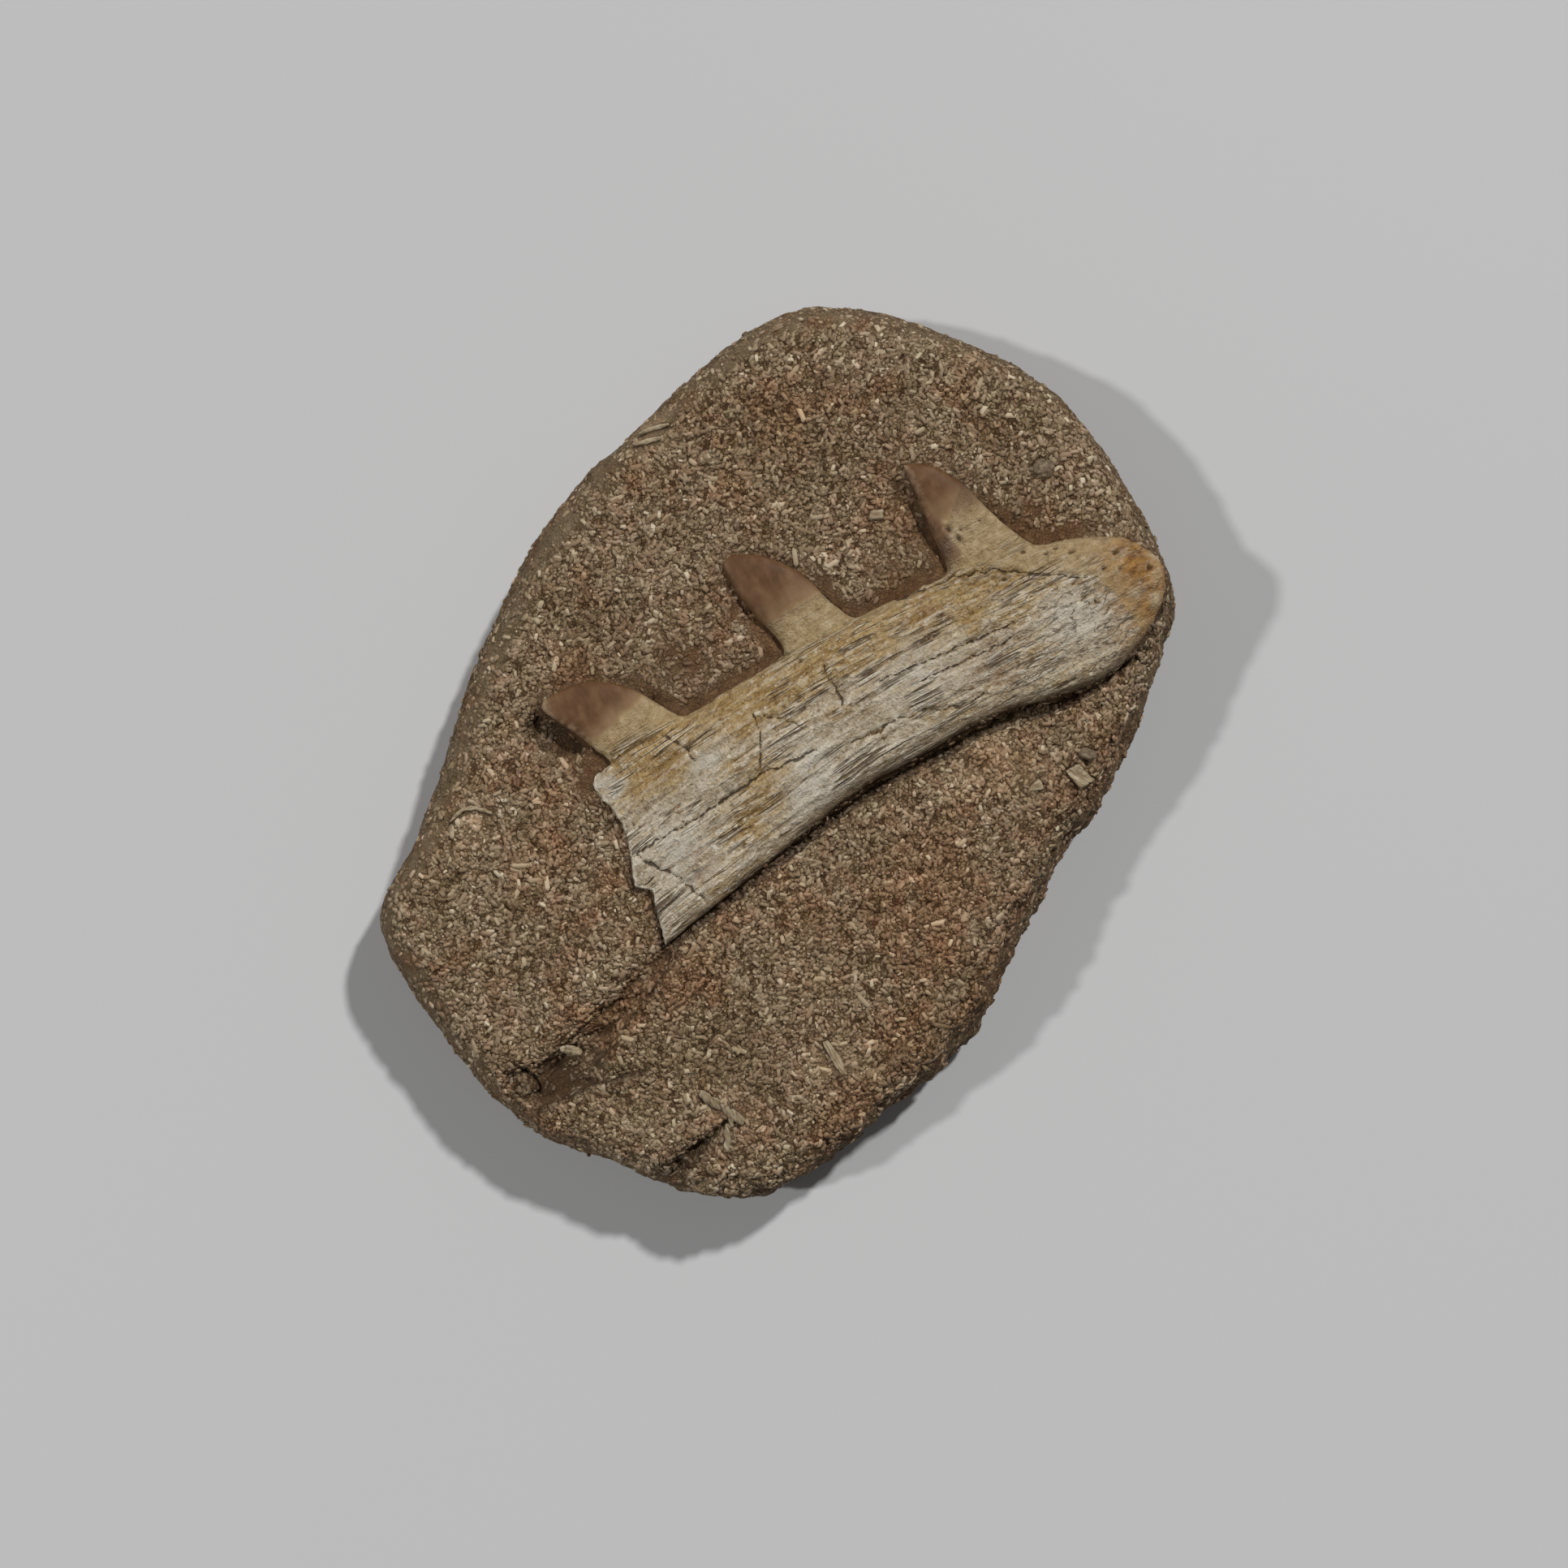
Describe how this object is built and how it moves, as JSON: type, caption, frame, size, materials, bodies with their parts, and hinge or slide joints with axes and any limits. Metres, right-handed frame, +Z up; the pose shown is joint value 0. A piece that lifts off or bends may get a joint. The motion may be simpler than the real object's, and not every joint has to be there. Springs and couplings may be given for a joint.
{
  "type": "fossil mosasaur jaw",
  "caption": "Piece of fossil mosasaur jaw with recurved tooth crowns, lying in a loose rounded slab of grainy tan phosphate rock with a flat underside.",
  "frame": {"origin": "middle of the bounding box, on the surface that the slab lies on", "axes": "+Z up, out of the face that shows the jaw; +Y along the slab towards its narrower end; +X to the right when looking down on the jaw, towards the front end of the bone"},
  "size_m": [0.145, 0.1618, 0.031],
  "materials": {
    "rock": "rough tan-brown grainy phosphate sand rock with pale and dark grains and rusty patches",
    "bone": "cream to grey fibrous fossil bone with ochre margins and a spongy orange front end, slightly waxy",
    "enamel": "smooth brown tooth enamel with a soft sheen, paler towards the root",
    "splinter": "pale cream bone splinters, matt",
    "pebble": "grey-brown rounded inclusions, matt"
  },
  "bodies": {
    "root": {"matrix": "rock", "jaw_bone": "bone", "crown_front": "enamel", "crown_middle": "enamel", "crown_rear": "enamel", "edge_sliver_long": "splinter", "edge_sliver_short": "splinter", "lower_sliver": "splinter", "furrow_sliver": "splinter", "arc_splinter": "splinter", "forked_splinter": "splinter", "plate_chip": "splinter", "pale_chip": "splinter", "carved_chip": "splinter", "grey_pebble": "pebble", "nodule": "pebble"}
  },
  "joints": []
}
